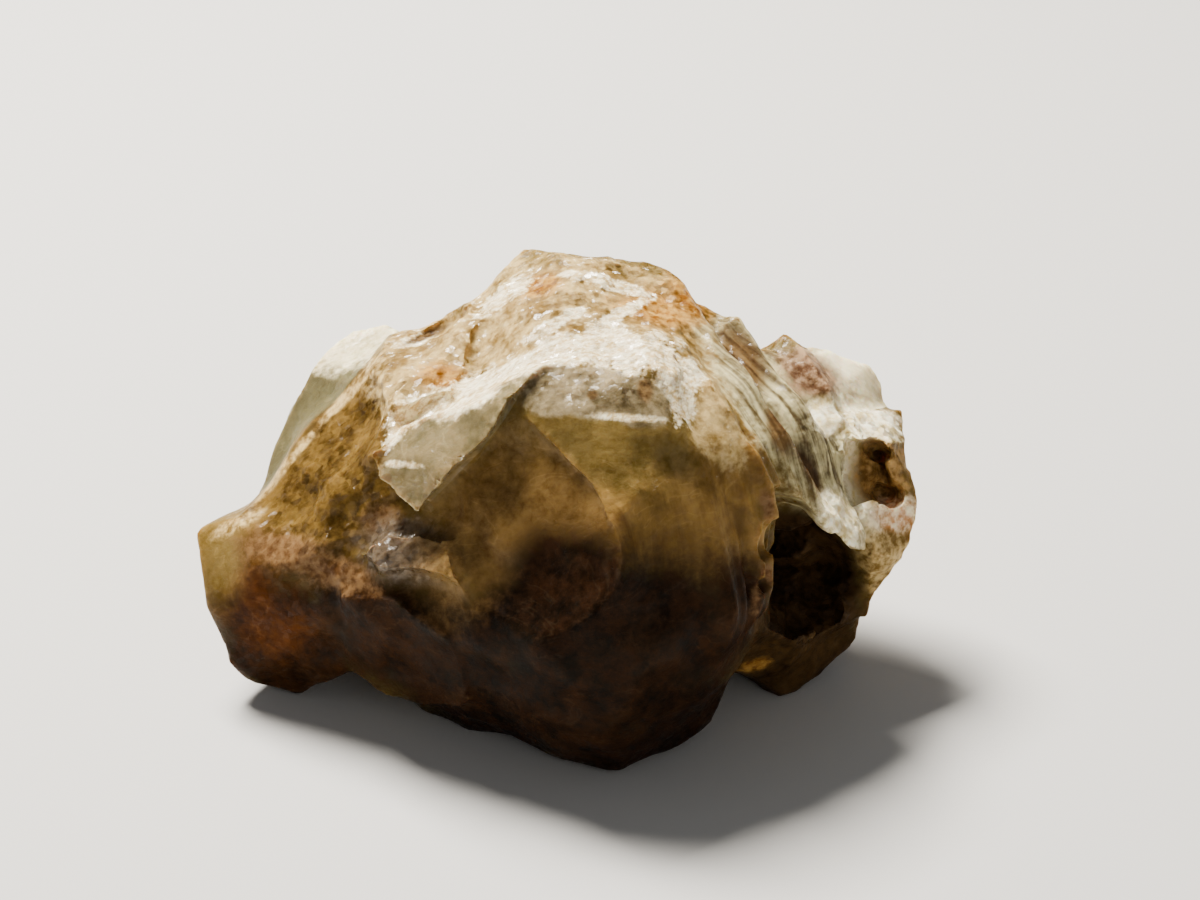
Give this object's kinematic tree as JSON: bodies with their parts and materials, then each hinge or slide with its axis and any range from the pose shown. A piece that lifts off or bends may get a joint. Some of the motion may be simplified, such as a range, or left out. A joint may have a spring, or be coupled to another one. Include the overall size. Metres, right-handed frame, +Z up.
{
  "type": "rough mineral crystal",
  "caption": "Rough honey-brown phosphate crystal, one grown mass with a pale front flake, an ochre end, a striated wing over a dark hollow and a flat broken base.",
  "frame": {"origin": "centre of the outline seen from above, at the level of the flat broken base", "axes": "+Z up from the base, +X along the longest extent towards the striated wing and its tip, -Y towards the face with the pale flake"},
  "size_m": [0.0288, 0.018, 0.0169],
  "materials": {
    "crystal": "translucent, honey-brown, ochre and pale grey, waxy to frosted broken faces"
  },
  "bodies": {
    "root": {"crystal": "crystal"}
  },
  "joints": []
}
